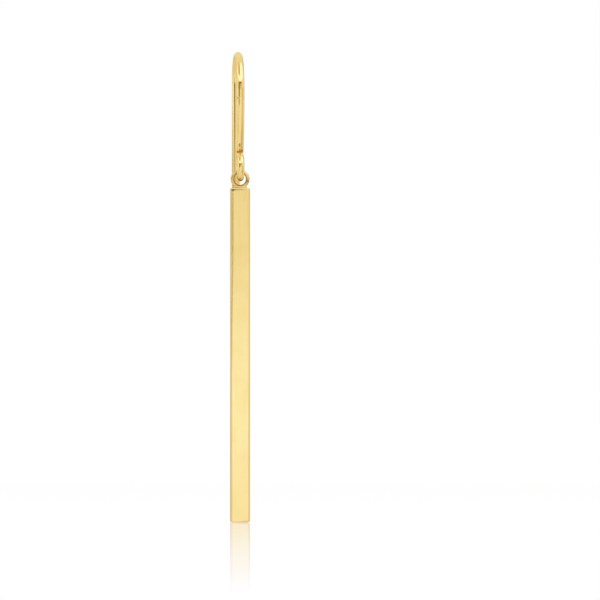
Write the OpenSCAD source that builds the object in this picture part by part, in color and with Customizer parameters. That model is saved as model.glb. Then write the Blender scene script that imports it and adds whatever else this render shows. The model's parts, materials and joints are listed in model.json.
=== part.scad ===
/* [Ear wire] */
// Thickness of the wire of the hook
wire_d = 0.81; // [0.7:0.01:0.9]
// Distance between the tail and the front leg, centre to centre
arch_span = 7; // [6:0.1:9]
// Length of the straight tail, from the foot of the arch to its rounded end
tail_length = 13.1; // [8:0.1:18]

/* [Front leg] */
// Upright stretch under the arch
leg_drop = 0.6; // [0.2:0.1:2]
// Radius of the gentle bend towards the back, along the middle of the wire
leg_bend_r = 12; // [8:0.5:16]
// Angle that the bend turns the leg through, in degrees
leg_turn = 18; // [12:1:22]
// Straight slanted stretch from the bend to the eye, where the wire thins to that of the eye
leg_slant = 3.08; // [2.6:0.02:4]

/* [Eye] */
// Radius of the eye, along the middle of its wire
eye_r = 1.1; // [1:0.02:1.4]
// Thickness of the wire of the eye
eye_wire_d = 0.73; // [0.6:0.01:0.76]
// Angle short of a full turn at which the wire leaves the circle and closes straight onto the leg
eye_closing = 60; // [50:1:70]

/* [Ring] */
// Radius of the ring, along the middle of its wire
ring_r = 0.765; // [0.7:0.005:0.9]
// Thickness of the wire of the ring
ring_wire_d = 0.38; // [0.3:0.01:0.42]
// Play between the ring and the inside of the eye that carries it
ring_play = 0.03; // [0.02:0.01:0.08]
// Depth that the ring is sunk into the top of the bar
ring_sink = 0.05; // [0.03:0.01:0.08]

/* [Solder foot] */
// Width of the foot on the bar
foot_width = 1.4; // [1.2:0.05:1.5]
// Width of the foot at its top
foot_top_width = 1.24; // [1:0.02:1.3]
// Depth of the foot, front to back
foot_depth = 0.7; // [0.5:0.05:1.2]
// Height of the foot above the bar
foot_height = 0.24; // [0.15:0.01:0.28]

/* [Bar] */
// Width of the square bar
bar_w = 1.9; // [1.7:0.05:4]
// Length of the bar
bar_length = 33.42; // [15:0.02:60]
// Radius of the bar's rounded edges
edge_r = 0.15; // [0.05:0.01:0.16]

/* [Hidden] */
$fn = 96;
gold = [0.93, 0.78, 0.44];
// The side plane holds the whole hook: a point there is [y, z], and angles turn from +Y towards +Z.
arch_r = arch_span / 2;
arch_centre = [0, wire_d / 2 - arch_r];
leg_top = arch_centre - [arch_r, 0];
bend_start = leg_top - [0, leg_drop];
bend_centre = bend_start + [leg_bend_r, 0];
bend_end = bend_centre - leg_bend_r * unit(leg_turn);
slant_heading = leg_turn - 90;
eye_joint = bend_end + leg_slant * unit(slant_heading);
eye_centre = eye_joint - eye_r * unit(leg_turn);
// The eye's wire leaves its circle here, and meets the middle of the leg after closing_length.
closing_point = eye_centre + eye_r * unit(leg_turn + eye_closing);
closing_length = eye_r * (1 - cos(eye_closing)) / sin(eye_closing);
// The ring hangs on the lowest point inside the eye, and swings about the middle of its own wire there.
eye_seat_z = eye_centre[1] - eye_r + eye_wire_d / 2;
swing_z = eye_seat_z + ring_play + ring_wire_d / 2;
drop_y = eye_centre[0];
ring_z = swing_z - ring_r;
bar_top_z = ring_z - ring_r - ring_wire_d / 2 + ring_sink;
// The foot reaches this far into the bar, so that the two are one piece of metal.
foot_root = 0.1;
// A straight stretch of wire reaches this far into the bends beside it, and is a hair thicker all round,
// so that the stretches join into one solid at any size.
lap = 0.02;
hair = 0.005;

function unit(angle) = [cos(angle), sin(angle)];

module in_side_plane() {
    rotate([90, 0, 90])
        children();
}

module wire_bend(centre, r, start, sweep, d) {
    translate(centre)
        rotate(start)
            rotate_extrude(angle = sweep)
                translate([r, 0])
                    circle(d = d - 2 * hair);
}

module wire_straight(from, heading, length, d_start, d_end) {
    translate(from - lap * unit(heading))
        rotate([0, 90, heading])
            cylinder(h = length + 2 * lap, d1 = d_start, d2 = d_end);
}

module tail() {
    straight = tail_length - wire_d / 2;
    foot = arch_centre + [arch_r, 0];
    wire_straight(foot, -90, straight, wire_d, wire_d);
    translate(foot - [0, straight])
        sphere(d = wire_d - 2 * hair);
}

module arch() {
    wire_bend(arch_centre, arch_r, 0, 180, wire_d);
}

module front_leg() {
    wire_straight(leg_top, -90, leg_drop, wire_d, wire_d);
    wire_bend(bend_centre, leg_bend_r, 180, leg_turn, wire_d);
    wire_straight(bend_end, slant_heading, leg_slant, wire_d, eye_wire_d);
}

module eye() {
    sweep = 360 - eye_closing;
    wire_bend(eye_centre, eye_r, leg_turn - sweep, sweep, eye_wire_d);
    wire_straight(closing_point, slant_heading + eye_closing, closing_length, eye_wire_d, eye_wire_d);
}

module ear_hook() {
    color(gold)
        in_side_plane() {
            tail();
            arch();
            front_leg();
            eye();
        }
}

module ring() {
    translate([0, drop_y, ring_z])
        rotate([90, 0, 0])
            rotate_extrude()
                translate([ring_r, 0])
                    circle(d = ring_wire_d);
}

module solder_foot() {
    base = foot_width / 2;
    top = foot_top_width / 2;
    translate([0, drop_y, bar_top_z])
        rotate([90, 0, 0])
            linear_extrude(foot_depth, center = true)
                polygon([[-base, -foot_root], [base, -foot_root], [base, 0], [top, foot_height],
                         [-top, foot_height], [-base, 0]]);
}

module rounded_rectangle(width, height, r) {
    square([width - 2 * r, height], center = true);
    square([width, height - 2 * r], center = true);
    for (x = [-1, 1], y = [-1, 1])
        translate([x * (width / 2 - r), y * (height / 2 - r)])
            circle(r);
}

module bar() {
    translate([0, drop_y, bar_top_z - bar_length / 2])
        intersection() {
            linear_extrude(bar_length, center = true)
                rounded_rectangle(bar_w, bar_w, edge_r);
            rotate([90, 0, 0])
                linear_extrude(bar_w, center = true)
                    rounded_rectangle(bar_w, bar_length, edge_r);
            rotate([90, 0, 90])
                linear_extrude(bar_w, center = true)
                    rounded_rectangle(bar_w, bar_length, edge_r);
        }
}

module bar_drop() {
    color(gold) {
        ring();
        solder_foot();
        bar();
    }
}

ear_hook();
bar_drop();
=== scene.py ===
import json
import math

import bpy
import numpy as np
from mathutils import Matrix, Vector


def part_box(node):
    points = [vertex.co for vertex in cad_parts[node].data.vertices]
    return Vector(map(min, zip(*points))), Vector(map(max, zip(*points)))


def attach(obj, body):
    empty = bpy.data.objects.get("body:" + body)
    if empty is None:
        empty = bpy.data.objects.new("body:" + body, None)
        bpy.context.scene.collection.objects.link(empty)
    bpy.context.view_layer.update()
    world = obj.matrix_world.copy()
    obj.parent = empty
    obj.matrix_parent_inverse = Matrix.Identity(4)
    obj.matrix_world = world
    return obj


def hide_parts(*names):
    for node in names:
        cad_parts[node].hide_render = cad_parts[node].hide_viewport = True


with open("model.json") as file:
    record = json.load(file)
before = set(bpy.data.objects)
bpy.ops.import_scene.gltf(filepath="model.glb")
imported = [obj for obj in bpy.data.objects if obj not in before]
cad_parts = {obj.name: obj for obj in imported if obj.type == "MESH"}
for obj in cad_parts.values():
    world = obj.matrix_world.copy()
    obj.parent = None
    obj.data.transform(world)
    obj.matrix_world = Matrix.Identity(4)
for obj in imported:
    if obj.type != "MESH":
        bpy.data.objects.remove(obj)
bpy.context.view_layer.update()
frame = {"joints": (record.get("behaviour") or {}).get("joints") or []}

# Sizes and places are in millimetres and angles in degrees. What the frame has is read from it.
MM = 0.001
hook_low, hook_high = (np.array(corner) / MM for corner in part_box("ear_hook"))
drop_low, drop_high = (np.array(corner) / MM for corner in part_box("bar_drop"))
swing_point = np.array(frame["joints"][0]["pos_m"]) / MM

# The hook. The tail runs straight up to TAIL_TOP, and a tighter shoulder leads from there into the arch.
WIRE_R = hook_high[0]
ARCH_R = hook_high[1] - WIRE_R
SHOULDER_R = 2.2
TAIL_TOP = -2.25
LEG_DROP = 0.6
LEG_BEND_R = 12.0
LEG_TURN = 18.0
LEG_SLANT = 3.14
EYE_R = 1.1
EYE_WIRE_R = 0.365
EYE_CLOSING = 60.0
CLOSING_FILLET = 0.03

# The ring, the solder foot and the bar
RING_R = 0.765
RING_WIRE_R = drop_high[2] - swing_point[2]
RING_SINK = 0.05
FOOT_HALF_WIDTH = 0.68
FOOT_HALF_DEPTH = 0.33
FOOT_HEIGHT = 0.22
FOOT_EDGE_R = 0.06
FOOT_SLOPE = 0.25
RING_FILLET = 0.07
FOOT_FILLET = 0.04
BAR_W = drop_high[1] - drop_low[1]
RIGHT_EDGE_R = 0.18
LOW_RIGHT_EDGE_R = 0.22
LEFT_EDGE_R = 0.11
RUBBED_EDGE_R = 0.28
CAP_EDGE_R = 0.1
EDGE_REACH = 0.15
drop_y = swing_point[1]
ring_z = swing_point[2] - RING_R
bar_top = ring_z - RING_R - RING_WIRE_R + RING_SINK
bar_bottom = drop_low[2]

# Steps of the grids that the two skins are cut from, and how often their points are evened out
HOOK_STEP = 0.05
FINE_STEP = 0.032
COARSE_STEP = 0.5
RELAX_ROUNDS = 4

# The photograph's view: the long lens stands a little to the left, level with the middle of the picture
VIEW_AZIMUTH = -3.8
VIEW_DISTANCE = 1200.0
VIEW_WIDTH = 60.0
PICTURE_MIDDLE_Z = -24.05
PICTURE_MIDDLE_SIDE = 5.99
SENSOR_WIDTH = 36.0
NEAREST_SEEN = 10.0
FARTHEST_SEEN = 10000.0

# Gold as it reflects straight on and at a glancing angle, the tones that heat and solder leave in it, and
# painted shade
GOLD = (0.95, 0.76, 0.33, 1.0)
GOLD_DEEP = (0.93, 0.725, 0.29, 1.0)
GOLD_GLANCING = (0.93, 0.86, 0.66, 1.0)
WARM_GOLD = (0.90, 0.64, 0.20, 1.0)
# A scorched tone for the painted shade round the eye's closing and under the eye
BURNT_SHADE_GOLD = (0.50, 0.27, 0.05, 1.0)
MATT_GOLD = (0.98, 0.88, 0.66, 1.0)
FOOT_GOLD = (0.81, 0.53, 0.145, 1.0)
SOLDER_GOLD = (0.78, 0.63, 0.28, 1.0)
# Dark tone of the painted shade inside the ring, in the foot's crease and under the bar's top edge, and of
# the ring's dark joint
SHADE_AND_JOINT_GOLD = (0.24, 0.17, 0.055, 1.0)

# Finish of the gold: its clouds, worn edges, polishing lines, scratches and waves. The grain is how many
# polishing lines there are to a millimetre along X, Y and Z.
WIRE_GRAIN = (14.0, 14.0, 0.5)
BAR_GRAIN = (11.0, 11.0, 0.25)
CLOUD_SCALE = 0.45
CLOUD_RANGE = (0.35, 0.7)
WORN_RANGE = (0.52, 0.6)
WORN_SHARE = 0.3
LINE_RANGE = (0.3, 0.7)
LINE_ROUGHNESS = (0.045, 0.075)
LINE_DEPTH = 0.0004
WAVE_SCALE = 0.8
WAVE_DEPTH = 0.0003
BUMP_STRENGTH = 0.4
SCRATCH_ANGLES = (0.5, 0.9, 0.2)
SCRATCH_SCALE = (9.0, 0.5, 2.0)
SCRATCH_RANGE = (0.497, 0.503, 0.004)
SCRATCH_ROUGHNESS = 0.02
DULL_ROUGHNESS = 0.12

# Where the eye closes on the leg, and how far round that place the gold is warm
CLOSING = (0, -2.75, -9.3)
WARM_RANGE = (0.35, 0.85)
WARM_SHARE = 0.5

# Dark marks of painted shade, in a scorched tone, on and round the closing and under the eye, each (centre,
# half sizes, strength). A mark is at full strength as far as MARK_CORE of the way out.
BURNT_SHADE_MARKS = [
    ((-0.22, -2.78, -9.23), (0.2, 0.5, 0.17), 1.0),
    ((0.03, -2.85, -9.28), (0.22, 0.45, 0.17), 0.85),
    ((0.22, -2.65, -9.12), (0.2, 0.5, 0.16), 1.0),
    ((-0.05, -3.75, -9.5), (0.09, 0.5, 0.35), 0.35),
    ((-0.05, -2.95, -8.56), (0.12, 0.6, 0.26), 1.0),
    ((-0.1, -3.5, -12.1), (0.36, 0.5, 0.13), 0.8),
]
MARK_CORE = 0.45

# Tones of the soldered ring: painted shade inside it, painted light on its upper right and on faces that
# look up. A range is where a tone starts and where it is full.
SOLDER_RANGE = (bar_top - 0.02, bar_top + 0.06)
INSIDE_RANGE = (RING_R + 0.05, RING_R - 0.14)
INSIDE_SHADE = 0.48
RIGHT_RANGE = (0.1, 0.5)
UPPER_RANGE = (ring_z, ring_z + 0.3)
UPPER_RIGHT_SHADE = 0.2
# How much painted light brightens the ring's upper right, where light falls in
UPPER_RIGHT_PAINTED_LIGHT = 0.6
LOWEST_RANGE = (ring_z - 0.65, ring_z - 0.35)
LOWEST_SHARE = 0.4
RING_JOINT = (0.76, -3.2, -12.17)
RING_JOINT_HALF = (0.13, 0.5, 0.17)
RING_JOINT_SHADE = 0.8
# Faces that look up get bright gold as painted light
FACING_UP_RANGE = (0.75, 0.95)

# Tones of the foot, and painted shade in its crease on the bar and in a line under the bar's top edge, from
# left to right
FOOT_RANGE = (bar_top + 0.28, bar_top + 0.2)
CREASE_RANGE = (bar_top + 0.02, bar_top + 0.095, 0.02)
CREASE_SHADES = [(-0.7, 0.75), (-0.3, 0.5), (0.0, 0.35), (0.45, 0.25), (0.6, 0.45)]
SHADE_LINE_TOP = bar_top - 0.095
SHADE_LINE_TOP_SOFT = 0.02
SHADE_LINE_FOOT_SOFT = 0.05
SHADE_LINE_HEIGHTS = [(-0.95, 0.17), (-0.83, 0.24), (-0.72, 0.21), (-0.6, 0.155), (-0.2, 0.135), (0.95, 0.12)]
SHADE_LINE_SHADES = [
    (-0.95, 0.45), (-0.9, 0.7), (-0.83, 1.0), (-0.72, 1.0), (-0.62, 0.85), (-0.5, 0.62),
    (0.2, 0.45), (0.42, 0.15), (0.95, 0.05),
]

# The matt finish of the bar's top end, which no polishing wheel gets at under the ring
END_FACING_RANGE = (0.85, 0.97)
END_LOW_RANGE = (bar_top - 0.05, bar_top - 0.02)
END_HIGH_RANGE = (bar_top + 0.03, bar_top + 0.01)
END_DULLNESS = 4.5

# The studio's light, as the metal mirrors it. Azimuth 0 is in front and grows to the right, elevation 0 is
# level, and the levels of light run from 0 to 1.5. A band is where it starts and ends and how softly.
FLOOR_TO_CEILING = [
    (-90, 0.72), (-50, 0.74), (-38, 0.80), (-28, 0.90), (-8, 0.90), (-2, 0.90), (1, 0.87),
    (8, 0.80), (20, 0.82), (30, 0.88), (50, 0.86), (90, 0.86),
]
WALL_BAND = (-42, 27, 6)
WALLS = [
    (-180, 0.68), (-160, 0.86), (-140, 1.0), (-118, 1.15), (-96, 0.94), (-78, 1.10), (-10, 1.0),
    (12, 0.98), (30, 0.82), (60, 0.74), (85, 0.78), (115, 0.92), (150, 1.02), (170, 0.80), (180, 0.68),
]
# The front wall is brightest just under the lens, which shades the bar softly from top to bottom.
FRONT_BAND = (-40, 40, 20)
FRONT_WALL = [
    (-1.8, 1.08), (-1.05, 1.13), (-0.86, 1.15), (-0.67, 1.27), (-0.5, 1.41), (-0.36, 1.37),
    (-0.3, 1.29), (-0.19, 1.18), (0, 1.14), (0.1, 1.06), (0.19, 1.02), (0.3, 0.965), (0.48, 0.95),
    (0.9, 0.98), (1.06, 1.24), (1.6, 1.26), (1.8, 1.08),
]
# Cards in the tent, later ones over earlier ones, each (level, band of azimuth, band of elevation)
CARDS = [
    # Sides, floor and back
    (0.76, (-150, -70, 14), (-52, -14, 6)),
    (0.76, (-110, -78, 5), (-15, -4, 2)),
    (1.15, (-92, -68, 6), (-2, 6, 2)),
    (0.94, (-114, -84, 8), (8, 24, 4)),
    (0.86, (-60, 30, 20), (-75, -42, 8)),
    (0.52, (40, 90, 12), (-42, -18, 7)),
    (0.96, (95, 150, 12), (-14, 30, 8)),
    (0.92, (44, 112, 10), (6, 26, 4)),
    (0.96, (-180, -150, 8), (6, 60, 8)),
    (0.96, (150, 180, 8), (6, 60, 8)),
    (1.15, (-116, -88, 8), (24, 42, 6)),
    # The softbox overhead, with a dim card and a dark one at its left
    (0.70, (-118, -40, 8), (44, 76, 5)),
    (1.28, (-72, 92, 10), (26.5, 42, 2.5)),
    (1.28, (-8, 106, 8), (40, 77, 3)),
    (0.40, (-56, -22, 7), (44, 82, 4)),
    # Dark cards on the left, which draw the dark line down each wire, and a bright one beside them
    (0.50, (-128, -64, 10), (-0.2, 0.68, 0.2)),
    (0.64, (-66, -16, 6), (-4.5, 0.75, 0.4)),
    (0.50, (-66, -14, 6), (0.75, 21, 0.3)),
    (0.34, (-52, -40, 3), (-30, 1, 4)),
    (0.40, (-52, -22, 5), (-7, -1.5, 1.5)),
    (0.20, (-55, -29, 3), (0.8, 24, 0.25)),
    (0.24, (-55, -29, 3), (1.4, 19, 0.2)),
    (0.30, (-30, -12, 5), (0.8, 1.0, 0.03)),
    (0.03, (-53, -37, 3), (0.75, 1.6, 0.2)),
    (1.50, (-104, -59, 3), (0.79, 0.97, 0.03)),
    # The gap between the lens and the softbox
    (0.14, (-27, 28, 12), (20.5, 26.5, 1.5)),
    (0.36, (-29, -9, 4), (5, 20, 2)),
    (0.50, (-4, 20, 5), (14, 21, 2)),
    (0.58, (6, 19, 4), (7, 14, 2)),
    # Dark cards behind, and thin ones nearly level, which the straight wires and the bar's side mirror
    (0.30, (128, 146, 9), (-9, 25, 4)),
    (0.38, (-128, -58, 8), (0.45, 0.74, 0.04)),
    (0.85, (-60, -22, 5), (0.45, 0.735, 0.03)),
    (0.20, (162, 180, 6), (-33, -6, 5)),
    (0.15, (-180, -164, 4), (-50, -30, 3)),
    (0.56, (-190, -166, 6), (-1.6, -0.55, 0.25)),
]
# Dim cards look warm and the softbox cool. A ramp stops at 1, so the tones are half of the light.
LIGHT_TONES = [
    (0.0, (0.005, 0.003, 0.001)), (0.2, (0.13, 0.10, 0.048)), (0.47, (0.278, 0.235, 0.144)),
    (0.70, (0.395, 0.345, 0.27)), (0.85, (0.445, 0.42, 0.39)), (1.05, (0.52, 0.525, 0.54)),
    (1.25, (0.56, 0.625, 0.785)), (1.5, (0.65, 0.75, 0.95)),
]
TENT_STRENGTH = 2.0

# The white backdrop and the floor, whose shine says how well it mirrors at each distance from the bar
WHITE = (1.0, 1.0, 1.0, 1.0)
BACKDROP_BANDS = (172.5, 179.3, 0.5), (0.8, 4, 0.2)
FLOOR_GAP = 0.02
FLOOR_REACH = 1500.0
FLOOR_IOR = 1.5
FLOOR_SHINE = [
    (0, 0.655), (40, 0.585), (90, 0.49), (130, 0.385), (210, 0.235), (250, 0.09), (300, 0.0),
]


def unit(degrees):
    """Unit vector in the side plane, which holds [y, z]. Angles turn from +Y towards +Z."""
    return np.array([math.cos(math.radians(degrees)), math.sin(math.radians(degrees))])


def straight(points, start, end, start_r, end_r):
    """Distance to a straight wire with round ends, in the side plane."""
    along = end - start
    from_start = points[..., 1:] - start
    share = np.clip(from_start @ along / (along @ along), 0, 1)
    beside = from_start - share[..., None] * along
    return np.sqrt(points[..., 0] ** 2 + (beside**2).sum(-1)) - start_r - share * (end_r - start_r)


def bend(points, centre, radius, start, sweep, wire_r):
    """Distance to a wire bent round centre, in the side plane, from the angle start through sweep."""
    from_centre = points[..., 1:] - centre
    angle = (np.degrees(np.arctan2(from_centre[..., 1], from_centre[..., 0])) - start) % 360
    to_circle = np.abs(np.linalg.norm(from_centre, axis=-1) - radius)
    to_start = np.linalg.norm(from_centre - radius * unit(start), axis=-1)
    to_end = np.linalg.norm(from_centre - radius * unit(start + sweep), axis=-1)
    beside = np.where(angle <= sweep, to_circle, np.minimum(to_start, to_end))
    return np.hypot(points[..., 0], beside) - wire_r


def rounded_box(points, centre, half, edge_r):
    """Distance to a box with rounded edges. Half and edge_r may differ from point to point."""
    beyond = np.abs(points - centre) - half + np.asarray(edge_r)[..., None]
    outside = np.linalg.norm(np.maximum(beyond, 0), axis=-1)
    return outside + np.minimum(beyond.max(-1), 0) - edge_r


def fuse(first, second, fillet):
    """Joins two distances with a fillet of that size in the crease between them."""
    overlap = np.maximum(fillet - np.abs(first - second), 0) / fillet
    return np.minimum(first, second) - overlap**2 * fillet / 4


def smooth_step(values, start, end):
    """Rises softly from 0 at start to 1 at end."""
    share = np.clip((values - start) / (end - start), 0, 1)
    return share * share * (3 - 2 * share)


def back_of_hook(points):
    """Distance to the tail, the shoulder and the flatter crown that leads from it to the arch's top."""
    tail_top = np.array([ARCH_R, TAIL_TOP])
    tail_tip = np.array([ARCH_R, hook_low[2] + WIRE_R])
    shoulder_centre = tail_top - [SHOULDER_R, 0]
    rise = WIRE_R - TAIL_TOP
    crown_r = (shoulder_centre[0] ** 2 + rise**2 - SHOULDER_R**2) / (2 * (rise - SHOULDER_R))
    crown_centre = np.array([0, WIRE_R - crown_r])
    meeting = math.degrees(math.atan2(shoulder_centre[1] - crown_centre[1], shoulder_centre[0]))
    return np.minimum.reduce([
        straight(points, tail_top, tail_tip, WIRE_R, WIRE_R),
        bend(points, shoulder_centre, SHOULDER_R, 0, meeting, WIRE_R),
        bend(points, crown_centre, crown_r, meeting, 90 - meeting, WIRE_R),
    ])


def front_of_hook(points):
    """Distance to the arch's front, the leg and the eye, whose thinner wire closes straight onto the leg."""
    arch_centre = np.array([0, WIRE_R - ARCH_R])
    leg_top = arch_centre - [ARCH_R, 0]
    bend_start = leg_top - [0, LEG_DROP]
    bend_centre = bend_start + [LEG_BEND_R, 0]
    bend_end = bend_centre - LEG_BEND_R * unit(LEG_TURN)
    eye_joint = bend_end + LEG_SLANT * unit(LEG_TURN - 90)
    eye_centre = eye_joint - EYE_R * unit(LEG_TURN)
    eye_sweep = 360 - EYE_CLOSING
    closing_start = eye_centre + EYE_R * unit(LEG_TURN + EYE_CLOSING)
    closing_length = EYE_R * math.tan(math.radians(EYE_CLOSING / 2))
    closing_end = closing_start + closing_length * unit(LEG_TURN + EYE_CLOSING - 90)
    slant = straight(points, bend_end, eye_joint, WIRE_R, EYE_WIRE_R)
    closing = straight(points, closing_start, closing_end, EYE_WIRE_R, EYE_WIRE_R)
    return np.minimum.reduce([
        bend(points, arch_centre, ARCH_R, 90, 90, WIRE_R),
        straight(points, leg_top, bend_start, WIRE_R, WIRE_R),
        bend(points, bend_centre, LEG_BEND_R, 180, LEG_TURN, WIRE_R),
        bend(points, eye_centre, EYE_R, LEG_TURN - eye_sweep, eye_sweep, EYE_WIRE_R),
        fuse(slant, closing, CLOSING_FILLET),
    ])


def hook_distance(points):
    """Distance to the hook, which is bent from one length of wire."""
    return np.minimum(back_of_hook(points), front_of_hook(points))


def ring_and_foot(points):
    """Distance to the ring, which stands face on, and to its low foot of solder, which narrows upwards."""
    across, depth, height = (points[..., i] for i in range(3))
    from_ring = np.hypot(across, height - ring_z) - RING_R
    ring = np.hypot(from_ring, depth - drop_y) - RING_WIRE_R
    above_bar = height - bar_top
    foot_half = np.stack([
        FOOT_HALF_WIDTH - FOOT_SLOPE * above_bar,
        FOOT_HALF_DEPTH - FOOT_SLOPE * above_bar,
        np.full_like(above_bar, FOOT_HEIGHT),
    ], axis=-1)
    foot = rounded_box(points, [0, drop_y, bar_top], foot_half, np.full_like(across, FOOT_EDGE_R))
    return fuse(ring, foot, RING_FILLET)


def bar_edges(points):
    """Radius of the bar's edges, sharp at its ends. The front left one is rubbed rounder towards the top."""
    across, depth, height = (points[..., i] for i in range(3))
    at_top = smooth_step(height, (2 * bar_bottom + bar_top) / 3, bar_top - 2 * BAR_W)
    at_front = smooth_step(depth, drop_y, drop_y - BAR_W / 4)
    at_left = smooth_step(across, BAR_W / 4, -BAR_W / 4)
    at_end = smooth_step(height, bar_top - 2 * EDGE_REACH, bar_top - EDGE_REACH)
    left_r = LEFT_EDGE_R + (RUBBED_EDGE_R - LEFT_EDGE_R) * at_top**2 * at_front
    right_r = LOW_RIGHT_EDGE_R + (RIGHT_EDGE_R - LOW_RIGHT_EDGE_R) * at_top
    edge_r = right_r + (left_r - right_r) * at_left
    return edge_r + (CAP_EDGE_R - edge_r) * at_end


def drop_distance(points):
    """Distance to the drop: the ring, its solder foot and the bar, fused into one piece of metal."""
    bar_half = np.array([BAR_W, BAR_W, bar_top - bar_bottom]) / 2
    bar = rounded_box(points, [0, drop_y, (bar_top + bar_bottom) / 2], bar_half, bar_edges(points))
    return fuse(bar, ring_and_foot(points), FOOT_FILLET)


def slope_of(distance, points):
    """Direction and steepness in which the distance grows at each point."""
    reach = 1e-4
    steps = np.eye(3) * reach
    return np.stack([distance(points + s) - distance(points - s) for s in steps], axis=-1) / (2 * reach)


def settle(distance, points, rounds):
    """Draws points onto the surface where the distance is zero."""
    for _ in range(rounds):
        slope = slope_of(distance, points)
        points = points - slope * (distance(points) / (slope**2).sum(-1))[:, None]
    return points


def grid(planes):
    """The points where three sets of planes cross."""
    return np.stack(np.meshgrid(*planes, indexing="ij"), axis=-1)


def crossed_cells(inside):
    """Marks the cells of a grid that have corners on both sides of the surface."""
    pairs = inside[:-1].astype(int) + inside[1:]
    fours = pairs[:, :-1] + pairs[:, 1:]
    eights = fours[:, :, :-1] + fours[:, :, 1:]
    return (eights > 0) & (eights < 8)


def faces_round(inside, number):
    """A face for each grid edge that passes through the surface, between the four cells round it."""
    faces = []
    for axis in range(3):
        order = (axis, (axis + 1) % 3, (axis + 2) % 3)
        solid = inside.transpose(order)[:, 1:-1, 1:-1]
        cells = number.transpose(order)
        corners = [cells[:, :-1, :-1], cells[:, 1:, :-1], cells[:, 1:, 1:], cells[:, :-1, 1:]]
        around = np.stack(corners, axis=-1)
        leaving = solid[:-1] & ~solid[1:]
        entering = ~solid[:-1] & solid[1:]
        faces += [around[leaving], around[entering][:, ::-1]]
    return np.concatenate(faces)


def relax(distance, points, faces):
    """Evens out a mesh by moving each point between its neighbours and back onto the surface."""
    ends = [np.stack([faces, np.roll(faces, turn, axis=1)], axis=-1) for turn in (1, -1)]
    corner, neighbour = np.concatenate(ends).reshape(-1, 2).T
    neighbours = np.bincount(corner, minlength=len(points))
    for _ in range(RELAX_ROUNDS):
        sums = [np.bincount(corner, points[neighbour, i], len(points)) for i in range(3)]
        points = settle(distance, np.stack(sums, axis=-1) / neighbours[:, None], rounds=2)
    return points


def in_scene(name, data):
    """A new object for a mesh or a camera, in the scene."""
    thing = bpy.data.objects.new(name, data)
    bpy.context.scene.collection.objects.link(thing)
    return thing


def skin(name, distance, planes):
    """A closed mesh on the surface where the distance is zero, from a grid of planes."""
    inside = distance(grid(planes)) < 0
    crossed = crossed_cells(inside)
    number = np.full(crossed.shape, -1)
    number[crossed] = np.arange(crossed.sum())
    faces = faces_round(inside, number)
    middles = [(plane[:-1] + plane[1:]) / 2 for plane in planes]
    points = settle(distance, grid(middles)[crossed], rounds=4)
    points = relax(distance, points, faces)
    slope = slope_of(distance, points)
    mesh = bpy.data.meshes.new(name)
    mesh.from_pydata(points * MM, [], faces.tolist())
    mesh.shade_smooth()
    mesh.normals_split_custom_set_from_vertices(slope / np.linalg.norm(slope, axis=-1, keepdims=True))
    return in_scene(name, mesh)


def even(start, end, step):
    """Planes from start to end, a step or a little less apart."""
    return np.linspace(start, end, math.ceil((end - start) / step) + 1)


def hook_piece():
    """The skin of the hook, from one even grid."""
    margin = 2 * HOOK_STEP
    planes = [even(hook_low[i] - margin, hook_high[i] + margin, HOOK_STEP) for i in range(3)]
    return skin("hook_wire", hook_distance, planes)


def drop_piece():
    """The skin of the drop. Its grid is coarse along the plain length of the bar and fine at the ends."""
    margin = 2 * FINE_STEP
    worked = BAR_W / 2
    heights = np.concatenate([
        even(drop_low[2] - margin, drop_low[2] + 2 * EDGE_REACH, FINE_STEP),
        even(drop_low[2] + 2 * EDGE_REACH, bar_top - worked, COARSE_STEP)[1:],
        even(bar_top - worked, drop_high[2] + margin, FINE_STEP)[1:],
    ])
    planes = [even(drop_low[i] - margin, drop_high[i] + margin, FINE_STEP) for i in range(2)]
    return skin("hanging_bar", drop_distance, planes + [heights])


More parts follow.
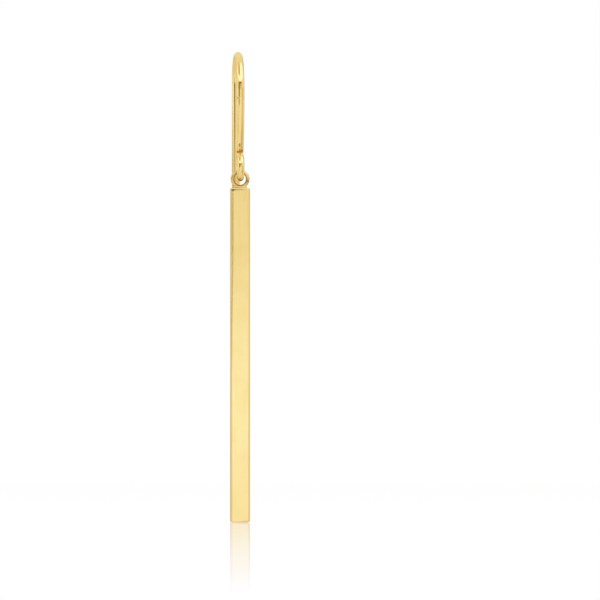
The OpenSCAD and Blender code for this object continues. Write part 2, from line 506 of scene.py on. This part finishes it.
class Graph:
    """Adds nodes to a node tree. An input is a number, a colour or another node's output."""

    def __init__(self, tree):
        self.tree = tree
        tree.nodes.clear()

    def add(self, kind, inputs, output=0, **settings):
        """A new node's output, or the node itself where it has none."""
        node = self.tree.nodes.new(kind)
        for name, value in settings.items():
            setattr(node, name, value)
        for name, value in inputs.items():
            if isinstance(value, bpy.types.NodeSocket):
                self.tree.links.new(value, node.inputs[name])
            else:
                node.inputs[name].default_value = value
        return node.outputs[output] if len(node.outputs) else node

    def math(self, operation, first, second=0.0):
        """One sum on numbers."""
        return self.add("ShaderNodeMath", {0: first, 1: second}, operation=operation)

    def times(self, first, second):
        """The product of two numbers."""
        return self.math("MULTIPLY", first, second)

    def plus(self, first, second):
        """The sum of two numbers."""
        return self.math("ADD", first, second)

    def most(self, first, *others):
        """The largest of several numbers."""
        for other in others:
            first = self.math("MAXIMUM", first, other)
        return first

    def smooth(self, value, start, end, low=0.0, high=1.0):
        """Goes softly from low at start to high at end."""
        inputs = {"Value": value, "From Min": start, "From Max": end, "To Min": low, "To Max": high}
        return self.add("ShaderNodeMapRange", inputs, interpolation_type="SMOOTHSTEP")

    def band(self, value, start, end, soft):
        """1 between start and end and 0 outside, with soft flanks."""
        rise = self.smooth(value, start - soft, start + soft)
        fall = self.smooth(value, end - soft, end + soft, 1.0, 0.0)
        return self.times(rise, fall)

    def blend(self, share, first, second):
        """A number between first and second."""
        inputs = {0: share, 2: first, 3: second}
        return self.add("ShaderNodeMix", inputs, data_type="FLOAT")

    def mix(self, share, first, second):
        """A colour between first and second."""
        return self.add("ShaderNodeMix", {0: share, 6: first, 7: second}, output=2, data_type="RGBA")

    def ramp(self, value, stops):
        """A colour for each value, where stops are (value, colour) in rising order."""
        first, last = stops[0][0], stops[-1][0]
        share = self.add("ShaderNodeMapRange", {"Value": value, "From Min": first, "From Max": last})
        node = self.tree.nodes.new("ShaderNodeValToRGB")
        self.tree.links.new(share, node.inputs[0])
        elements = node.color_ramp.elements
        for place, colour in stops[1:-1]:
            elements.new((place - first) / (last - first)).color = (*colour, 1.0)
        elements[0].color = (*stops[0][1], 1.0)
        elements[-1].color = (*stops[-1][1], 1.0)
        return node.outputs[0]

    def curve(self, value, stops):
        """A number for each value, where stops are (value, number) in rising order."""
        top = max(number for _, number in stops)
        grey = self.ramp(value, [(place, (number / top,) * 3) for place, number in stops])
        return self.times(grey, top)

    def place(self):
        """Where on its object a point lies."""
        metres = self.add("ShaderNodeTexCoord", {}, "Object")
        return self.add("ShaderNodeVectorMath", {0: metres, "Scale": 1 / MM}, operation="SCALE")

    def parts(self, vector):
        """The X, Y and Z of a vector."""
        node = self.tree.nodes.new("ShaderNodeSeparateXYZ")
        self.tree.links.new(vector, node.inputs[0])
        return node.outputs

    def vector(self, operation, first, second):
        """One sum on vectors."""
        return self.add("ShaderNodeVectorMath", {0: first, 1: second}, operation=operation)

    def distance(self, place, centre):
        """How far place is from centre."""
        inputs = {0: place, 1: centre}
        return self.add("ShaderNodeVectorMath", inputs, output="Value", operation="DISTANCE")

    def noise(self, place, scale, detail, roughness=0.5):
        """Soft noise between 0 and 1."""
        inputs = {"Vector": place, "Scale": scale, "Detail": detail, "Roughness": roughness}
        return self.add("ShaderNodeTexNoise", inputs)


def tent_level(graph, azimuth, elevation):
    """Level of light from each direction: the room, then the front wall, then the cards."""
    level = graph.curve(elevation, FLOOR_TO_CEILING)
    near_wall = graph.band(elevation, *WALL_BAND)
    level = graph.times(level, graph.blend(near_wall, 1.0, graph.curve(azimuth, WALLS)))
    in_front = graph.band(azimuth, *FRONT_BAND)
    level = graph.times(level, graph.blend(in_front, 1.0, graph.curve(elevation, FRONT_WALL)))
    for light, sideways, upwards in CARDS:
        inside = graph.times(graph.band(azimuth, *sideways), graph.band(elevation, *upwards))
        level = graph.blend(inside, level, light)
    return level


def studio_light():
    """A bright tent of cards all round, seen only in the metal, with a white backdrop.

    The backdrop is what the camera sees, directly and where the floor mirrors it.
    """
    world = bpy.data.worlds.new("studio")
    bpy.context.scene.world = world
    world.use_nodes = True
    graph = Graph(world.node_tree)
    x, y, z = graph.parts(graph.add("ShaderNodeTexCoord", {}, "Generated"))
    elevation = graph.math("DEGREES", graph.math("ARCSINE", z))
    azimuth = graph.math("DEGREES", graph.math("ARCTAN2", x, graph.times(y, -1.0)))
    tones = graph.ramp(tent_level(graph, azimuth, elevation), LIGHT_TONES)
    tent = graph.add("ShaderNodeBackground", {"Color": tones, "Strength": TENT_STRENGTH})
    backdrop = graph.add("ShaderNodeBackground", {"Color": WHITE, "Strength": 1.0})
    seen_directly = graph.add("ShaderNodeLightPath", {}, "Is Camera Ray")
    sideways, upwards = BACKDROP_BANDS
    behind = graph.times(graph.band(azimuth, *sideways), graph.band(elevation, *upwards))
    is_backdrop = graph.most(seen_directly, behind)
    light = graph.add("ShaderNodeMixShader", {0: is_backdrop, 1: tent, 2: backdrop})
    graph.add("ShaderNodeOutputWorld", {"Surface": light})


def mark(graph, place, centre, half):
    """1 in the middle of an ellipsoid round centre, falling to 0 at its surface."""
    stretch = tuple(1 / size for size in half)
    offset = graph.vector("MULTIPLY", graph.vector("SUBTRACT", place, centre), stretch)
    reach = graph.add("ShaderNodeVectorMath", {0: offset}, output="Value", operation="LENGTH")
    return graph.smooth(reach, MARK_CORE, 1.0, 1.0, 0.0)


def closing_tone(graph, place, colour):
    """The eye was soldered shut onto the leg, which left a crease, a pit and a warm tone. Painted shade in a
    scorched tone darkens the crease, the pit and the eye's lower edge.
    """
    warm = graph.smooth(graph.distance(place, CLOSING), *WARM_RANGE, WARM_SHARE, 0.0)
    burnt_shade = 0.0
    for centre, half, strength in BURNT_SHADE_MARKS:
        # Each mark adds painted shade in the scorched tone
        burnt_shade = graph.most(burnt_shade, graph.times(mark(graph, place, centre, half), strength))
    return graph.mix(burnt_shade, graph.mix(warm, colour, WARM_GOLD), BURNT_SHADE_GOLD), warm


def ring_shade(graph, place, z, solder, upper_right):
    """Painted shade darkens the inside of the ring, less so at its upper right, where light falls in, and at
    its foot. Its wire's joint is dark too.
    """
    inside = graph.times(graph.smooth(graph.distance(place, (0, drop_y, ring_z)), *INSIDE_RANGE), solder)
    inside = graph.times(inside, graph.blend(upper_right, INSIDE_SHADE, UPPER_RIGHT_SHADE))
    inside = graph.times(inside, graph.smooth(z, *LOWEST_RANGE, LOWEST_SHARE, 1.0))
    joint = graph.times(mark(graph, place, RING_JOINT, RING_JOINT_HALF), RING_JOINT_SHADE)
    return graph.most(inside, joint)


def shade_line(graph, x, z):
    """Painted shade in a line under the bar's top edge, thickest and darkest at the left."""
    below_edge = graph.math("SUBTRACT", SHADE_LINE_TOP, z)
    beyond = graph.math("SUBTRACT", below_edge, graph.curve(x, SHADE_LINE_HEIGHTS))
    started = graph.smooth(below_edge, -SHADE_LINE_TOP_SOFT, SHADE_LINE_TOP_SOFT)
    not_ended = graph.smooth(beyond, -SHADE_LINE_FOOT_SOFT, SHADE_LINE_FOOT_SOFT, 1.0, 0.0)
    return graph.times(graph.times(started, not_ended), graph.curve(x, SHADE_LINE_SHADES))


def solder_tone(graph, place, colour):
    """The ring and its foot keep the duller tone of the solder, and the bar's top end is matt.

    Painted light brightens faces that look up and the ring's upper right; painted shade darkens the inside
    of the ring, the foot's crease and a line under the bar's top edge.
    """
    x, _, z = graph.parts(place)
    facing_up = graph.parts(graph.add("ShaderNodeNewGeometry", {}, "Normal"))["Z"]
    solder = graph.smooth(z, *SOLDER_RANGE)
    upper_right = graph.times(graph.smooth(x, *RIGHT_RANGE), graph.smooth(z, *UPPER_RANGE))
    # Painted light: faces that look up and the ring's upper right are given the bright gold
    painted_light = graph.smooth(facing_up, *FACING_UP_RANGE)
    painted_light = graph.most(painted_light, graph.times(upper_right, UPPER_RIGHT_PAINTED_LIGHT))
    soldered = graph.mix(graph.smooth(z, *FOOT_RANGE), SOLDER_GOLD, FOOT_GOLD)
    colour = graph.mix(solder, colour, graph.mix(painted_light, soldered, GOLD))
    matt_end = graph.times(graph.smooth(facing_up, *END_FACING_RANGE), graph.smooth(z, *END_HIGH_RANGE))
    matt_end = graph.times(matt_end, graph.smooth(z, *END_LOW_RANGE))
    colour = graph.mix(matt_end, colour, MATT_GOLD)
    # Painted shade in the crease where the foot meets the bar
    foot_crease = graph.times(graph.band(z, *CREASE_RANGE), graph.curve(x, CREASE_SHADES))
    in_ring = ring_shade(graph, place, z, solder, upper_right)
    # Painted shade inside the ring, in the foot's crease and in a line under the bar's top edge, with the
    # ring's dark joint
    shade_and_joint = graph.most(in_ring, foot_crease, shade_line(graph, x, z))
    dull = graph.most(shade_and_joint, graph.times(matt_end, END_DULLNESS))
    return graph.mix(shade_and_joint, colour, SHADE_AND_JOINT_GOLD), dull


def cloudy_gold(graph, place):
    """Gold with soft clouds of a deeper tone, paler on worn edges."""
    cloud = graph.noise(place, CLOUD_SCALE, detail=3.0)
    colour = graph.mix(graph.smooth(cloud, *CLOUD_RANGE), GOLD, GOLD_DEEP)
    sharpness = graph.add("ShaderNodeNewGeometry", {}, "Pointiness")
    worn = graph.times(graph.smooth(sharpness, *WORN_RANGE), WORN_SHARE)
    return graph.mix(worn, colour, GOLD_GLANCING)


def scratches(graph, place):
    """Thin scratches, where a stretched noise passes through its middle."""
    inputs = {"Vector": place, "Rotation": SCRATCH_ANGLES, "Scale": SCRATCH_SCALE}
    turned = graph.add("ShaderNodeMapping", inputs)
    return graph.band(graph.noise(turned, scale=1.0, detail=2.0), *SCRATCH_RANGE)


def polished_gold(name, grain, local_tone):
    """Gold with faint polishing lines and scratches. The tones of its solder, and its painted light and
    shade, come from local_tone.
    """
    material = bpy.data.materials.new(name)
    material.use_nodes = True
    graph = Graph(material.node_tree)
    place = graph.place()
    stretched = graph.vector("MULTIPLY", place, grain)
    lines = graph.noise(stretched, scale=1.0, detail=1.0, roughness=0.6)
    waves = graph.noise(place, WAVE_SCALE, detail=1.0)
    colour, dull = local_tone(graph, place, cloudy_gold(graph, place))
    roughness = graph.smooth(lines, *LINE_RANGE, *LINE_ROUGHNESS)
    roughness = graph.plus(roughness, graph.times(scratches(graph, place), SCRATCH_ROUGHNESS))
    roughness = graph.plus(roughness, graph.times(dull, DULL_ROUGHNESS))
    height = graph.plus(graph.times(lines, LINE_DEPTH), graph.times(waves, WAVE_DEPTH))
    bump = graph.add("ShaderNodeBump", {"Height": height, "Distance": MM, "Strength": BUMP_STRENGTH})
    shader = graph.add("ShaderNodeBsdfPrincipled", {
        "Base Color": colour, "Metallic": 1.0, "Roughness": roughness, "Normal": bump,
        "Specular Tint": GOLD_GLANCING,
    })
    graph.add("ShaderNodeOutputMaterial", {"Surface": shader})
    return material


def glossy_white(height):
    """A mirror that fades away from the bar, over a glow that makes up for what it mirrors."""
    material = bpy.data.materials.new("glossy_floor")
    material.use_nodes = True
    graph = Graph(material.node_tree)
    shine = graph.curve(graph.distance(graph.place(), (0, drop_y, height)), FLOOR_SHINE)
    mirrored = graph.times(shine, graph.add("ShaderNodeFresnel", {"IOR": FLOOR_IOR}))
    mirror = graph.add("ShaderNodeBsdfGlossy", {"Color": mirrored, "Roughness": 0.0})
    glow = graph.math("SUBTRACT", 1.0, mirrored)
    light = graph.add("ShaderNodeEmission", {"Color": glow, "Strength": 1.0})
    total = graph.add("ShaderNodeAddShader", {0: mirror, 1: light})
    clear = graph.add("ShaderNodeBsdfTransparent", {})
    from_below = graph.add("ShaderNodeNewGeometry", {}, "Backfacing")
    surface = graph.add("ShaderNodeMixShader", {0: from_below, 1: total, 2: clear})
    graph.add("ShaderNodeOutputMaterial", {"Surface": surface})
    return material


def glossy_floor():
    """A pale shiny floor just under the bar, which the metal doesn't mirror."""
    height = bar_bottom - FLOOR_GAP
    sides = ((-1, -1), (1, -1), (1, 1), (-1, 1))
    corners = [(x * FLOOR_REACH * MM, y * FLOOR_REACH * MM, height * MM) for x, y in sides]
    mesh = bpy.data.meshes.new("floor")
    mesh.from_pydata(corners, [], [(0, 1, 2, 3)])
    mesh.materials.append(glossy_white(height))
    floor = in_scene("floor", mesh)
    floor.visible_glossy = False
    floor.visible_diffuse = False


def photograph_camera():
    """The camera stands at the photograph's angle to the bar and aims beside it, as the photo does."""
    turn = math.radians(VIEW_AZIMUTH)
    towards_camera = Vector((math.sin(turn), -math.cos(turn), 0))
    rightwards = Vector((math.cos(turn), math.sin(turn), 0))
    middle = Vector((0, drop_y, PICTURE_MIDDLE_Z))
    position = middle + towards_camera * VIEW_DISTANCE
    target = middle + rightwards * PICTURE_MIDDLE_SIDE
    data = bpy.data.cameras.new("camera")
    data.sensor_width = SENSOR_WIDTH
    data.lens = SENSOR_WIDTH * VIEW_DISTANCE / VIEW_WIDTH
    data.clip_start = NEAREST_SEEN * MM
    data.clip_end = FARTHEST_SEEN * MM
    camera = in_scene("camera", data)
    camera.location = position * MM
    camera.rotation_euler = (target - position).to_track_quat("-Z", "Y").to_euler()
    bpy.context.scene.camera = camera


def plain_view():
    """Colours are shown as they are, without a film look."""
    settings = bpy.context.scene.view_settings
    settings.view_transform = "Standard"
    settings.look = "None"
    settings.exposure = 0.0
    settings.gamma = 1.0


def dress(piece, node, body, material):
    """Gives a piece its material, its body and the node that it replaces."""
    piece.data.materials.append(material)
    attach(piece, body)
    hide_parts(node)


wire_gold = polished_gold("wire_gold", WIRE_GRAIN, closing_tone)
bar_gold = polished_gold("bar_gold", BAR_GRAIN, solder_tone)
dress(hook_piece(), "ear_hook", "hook", wire_gold)
dress(drop_piece(), "bar_drop", "drop", bar_gold)
studio_light()
glossy_floor()
photograph_camera()
plain_view()
